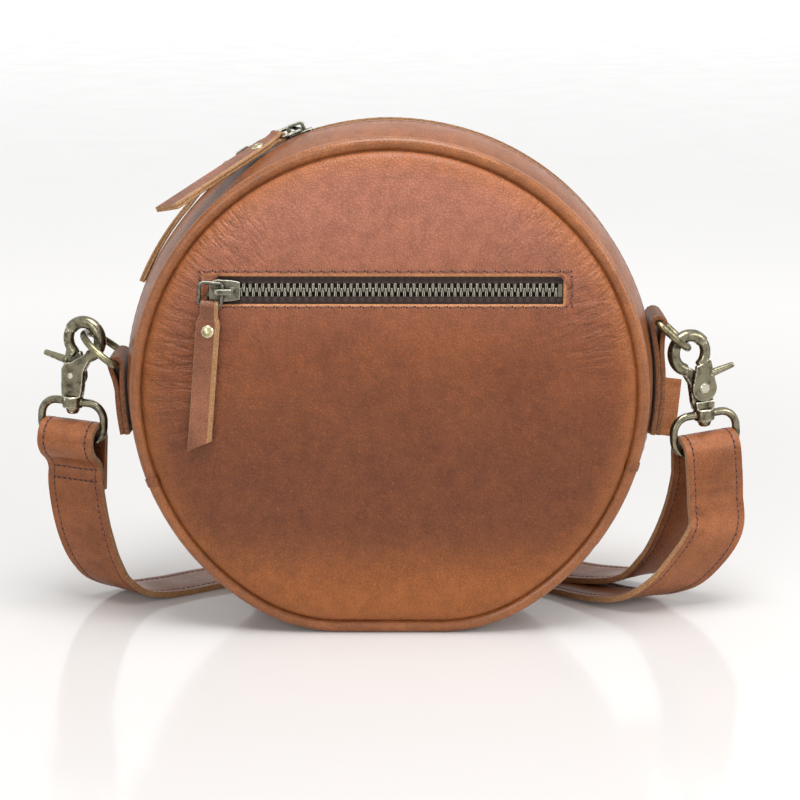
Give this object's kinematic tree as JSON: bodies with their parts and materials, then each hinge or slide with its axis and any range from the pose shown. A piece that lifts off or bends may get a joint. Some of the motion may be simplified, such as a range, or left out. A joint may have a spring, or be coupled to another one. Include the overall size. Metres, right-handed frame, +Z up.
{
  "type": "round shoulder bag",
  "caption": "Round tan leather shoulder bag with a curved zip over the top, a zip pocket on the front and a strap clipped to a ring on each side.",
  "frame": {"origin": "middle of the flat stretch the bag stands on, halfway between its two discs", "axes": "+X right as seen from the front, front disc facing -Y, +Z up"},
  "size_m": [0.2986, 0.1103, 0.2084],
  "materials": {
    "body_leather": "polished",
    "dark_leather": "glossy",
    "trim_leather": "smooth",
    "strap_leather": "matt",
    "pull_leather": "smooth",
    "zip_tape": "woven",
    "lining_cloth": "woven",
    "teeth_metal": "antique",
    "slider_metal": "antique",
    "ring_metal": "antique",
    "clip_metal": "antique",
    "rivet_metal": "polished"
  },
  "bodies": {
    "bag": {"front_panel": "body_leather", "back_panel": "body_leather", "front_piping": "trim_leather", "back_piping": "trim_leather", "piping_wraps": "trim_leather", "base_gusset": "dark_leather", "zip_gusset_front": "dark_leather", "zip_gusset_back": "dark_leather", "main_tape_front": "zip_tape", "main_tape_back": "zip_tape", "main_teeth_front": "teeth_metal", "main_teeth_back": "teeth_metal", "main_zip_stops": "teeth_metal", "front_lining": "lining_cloth", "back_lining": "lining_cloth", "gusset_lining": "lining_cloth", "pocket_tape_upper": "zip_tape", "pocket_tape_lower": "zip_tape", "pocket_teeth_upper": "teeth_metal", "pocket_teeth_lower": "teeth_metal", "pocket_zip_stops": "teeth_metal", "pocket_pouch": "lining_cloth", "left_ring_tab": "trim_leather", "left_eye": "clip_metal", "right_ring_tab": "trim_leather", "right_eye": "clip_metal", "shoulder_strap": "strap_leather", "strap_stud": "rivet_metal"},
    "pocket_slider": {"pocket_slider": "slider_metal"},
    "pocket_bail": {"pocket_bail": "slider_metal"},
    "pocket_pull": {"pocket_pull": "pull_leather", "pocket_pull_rivet": "rivet_metal"},
    "top_slider_right": {"top_slider_right": "slider_metal"},
    "top_bail_right": {"top_bail_right": "slider_metal"},
    "top_pull_right": {"top_pull_right": "pull_leather", "top_pull_rivet_right": "rivet_metal"},
    "top_slider_left": {"top_slider_left": "slider_metal"},
    "top_bail_left": {"top_bail_left": "slider_metal"},
    "top_pull_left": {"top_pull_left": "pull_leather", "top_pull_rivet_left": "rivet_metal"},
    "left_ring": {"left_ring": "ring_metal"},
    "right_ring": {"right_ring": "ring_metal"},
    "left_hook": {"left_hook": "clip_metal", "left_trigger_pin": "rivet_metal"},
    "right_hook": {"right_hook": "clip_metal", "right_trigger_pin": "rivet_metal"},
    "left_trigger": {"left_trigger": "clip_metal"},
    "right_trigger": {"right_trigger": "clip_metal"}
  },
  "joints": [
    {"name": "pocket_zip", "type": "slide", "parent": "bag", "child": "pocket_slider", "axis": [1, 0, 0], "range_m": [0, 0.126]},
    {"name": "pocket_bail_swing", "type": "hinge", "parent": "pocket_slider", "child": "pocket_bail", "pos_m": [-0.0662, -0.04005, 0.1437], "axis": [0, -1, 0], "range_deg": [-9, 14]},
    {"name": "pocket_pull_lift", "type": "hinge", "parent": "pocket_bail", "child": "pocket_pull", "pos_m": [-0.07126, -0.04005, 0.13812], "axis": [-0.9962, 0, 0.0872], "range_deg": [0, 120]},
    {"name": "top_zip_right", "type": "hinge", "parent": "bag", "child": "top_slider_right", "pos_m": [0, 0, 0.09912], "axis": [0, 1, 0], "range_deg": [0, 90]},
    {"name": "top_bail_right_lift", "type": "hinge", "parent": "top_slider_right", "child": "top_bail_right", "pos_m": [-0.03829, 0, 0.20432], "axis": [-0.5756, 0.8172, 0.0299], "range_deg": [0, 90]},
    {"name": "top_pull_right_lift", "type": "hinge", "parent": "top_bail_right", "child": "top_pull_right", "pos_m": [-0.04538, -0.0049, 0.20174], "axis": [-0.5756, 0.8172, 0.0299], "range_deg": [0, 80]},
    {"name": "top_zip_left", "type": "hinge", "parent": "bag", "child": "top_slider_left", "pos_m": [0, 0, 0.09912], "axis": [0, -1, 0], "range_deg": [0, 11]},
    {"name": "top_bail_left_lift", "type": "hinge", "parent": "top_slider_left", "child": "top_bail_left", "pos_m": [-0.05911, 0, 0.19372], "axis": [0, 1, 0], "range_deg": [0, 90]},
    {"name": "top_pull_left_lift", "type": "hinge", "parent": "top_bail_left", "child": "top_pull_left", "pos_m": [-0.06674, 0, 0.18895], "axis": [0, 1, 0], "range_deg": [0, 80]},
    {"name": "left_ring_swing", "type": "hinge", "parent": "bag", "child": "left_ring", "pos_m": [-0.11303, 0, 0.10822], "axis": [0, -1, 0], "range_deg": [-2, 10]},
    {"name": "right_ring_swing", "type": "hinge", "parent": "bag", "child": "right_ring", "pos_m": [0.11027, 0, 0.12559], "axis": [0, 1, 0], "range_deg": [-1, 5]},
    {"name": "left_hook_swivel", "type": "hinge", "parent": "bag", "child": "left_hook", "pos_m": [-0.13318, 0.00171, 0.09], "axis": [0.0436, 0, 0.999], "range_deg": [-5, 30]},
    {"name": "right_hook_swivel", "type": "hinge", "parent": "bag", "child": "right_hook", "pos_m": [0.13161, 0.00171, 0.08478], "axis": [0.0872, 0, -0.9962], "range_deg": [-5, 30]},
    {"name": "left_trigger_press", "type": "hinge", "parent": "left_hook", "child": "left_trigger", "pos_m": [-0.13268, 0.00171, 0.10139], "axis": [-0.3417, -0.9397, 0.0149], "range_deg": [0, 22], "stiffness_Nm_per_rad": 0.02, "springref_deg": -20.05},
    {"name": "right_trigger_press", "type": "hinge", "parent": "right_hook", "child": "right_trigger", "pos_m": [0.13062, 0.00171, 0.09614], "axis": [-0.3407, 0.9397, -0.0298], "range_deg": [0, 22], "stiffness_Nm_per_rad": 0.02, "springref_deg": -20.05}
  ]
}
